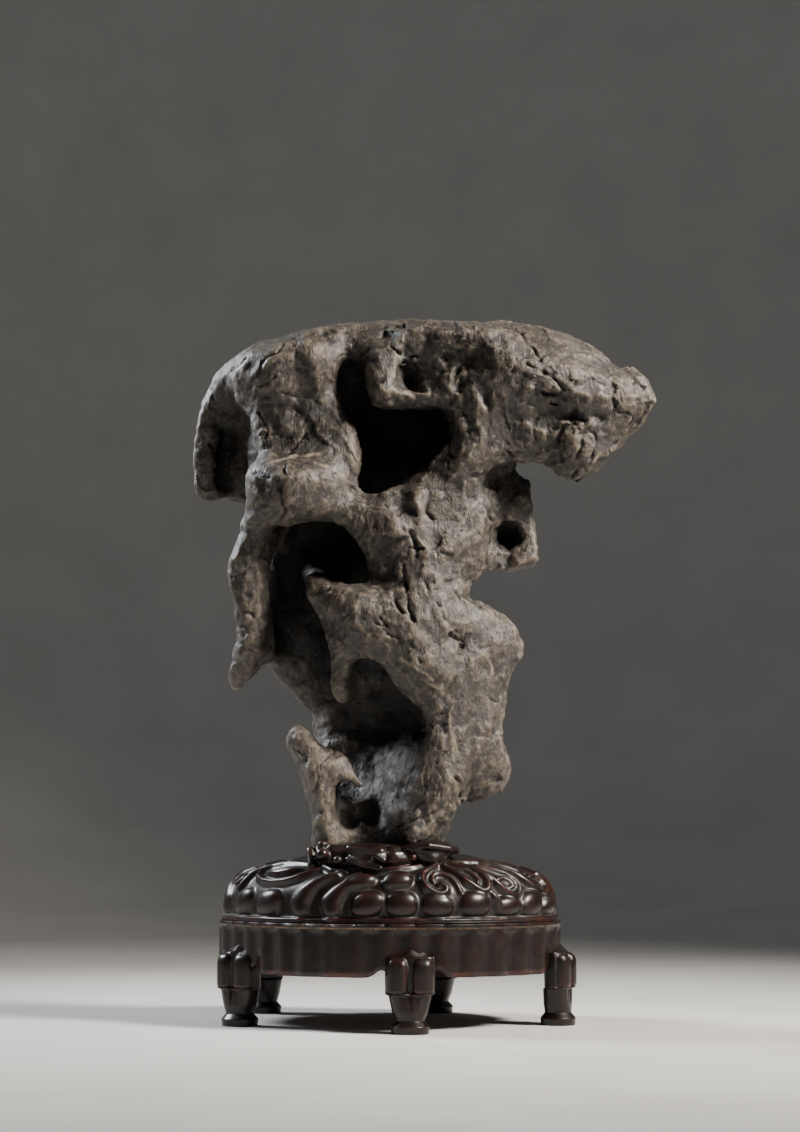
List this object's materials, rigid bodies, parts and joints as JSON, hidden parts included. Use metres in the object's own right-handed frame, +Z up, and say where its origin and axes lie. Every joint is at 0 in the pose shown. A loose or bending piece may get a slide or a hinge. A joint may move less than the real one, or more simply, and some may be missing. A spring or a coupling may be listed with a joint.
{
  "type": "scholar's rock on a carved wooden stand",
  "caption": "Upright scholar's rock, broad and overhanging at the top, pierced by hollows, resting in a carved oval hardwood stand on small legs.",
  "frame": {"origin": "centre of the whole object's plan, on the surface that the feet stand on", "axes": "+Z up, the front of the rock faces -Y, +X to its right as seen from the front"},
  "size_m": [0.3279, 0.2217, 0.4972],
  "materials": {
    "stone": "weathered grey-brown stone",
    "wood": "dark polished hardwood"
  },
  "bodies": {
    "root": {"rock": "stone", "stand_top": "wood", "stand_apron": "wood", "leg_front": "wood", "leg_right": "wood", "leg_left": "wood", "leg_back_left": "wood", "leg_back_right": "wood"}
  },
  "joints": []
}
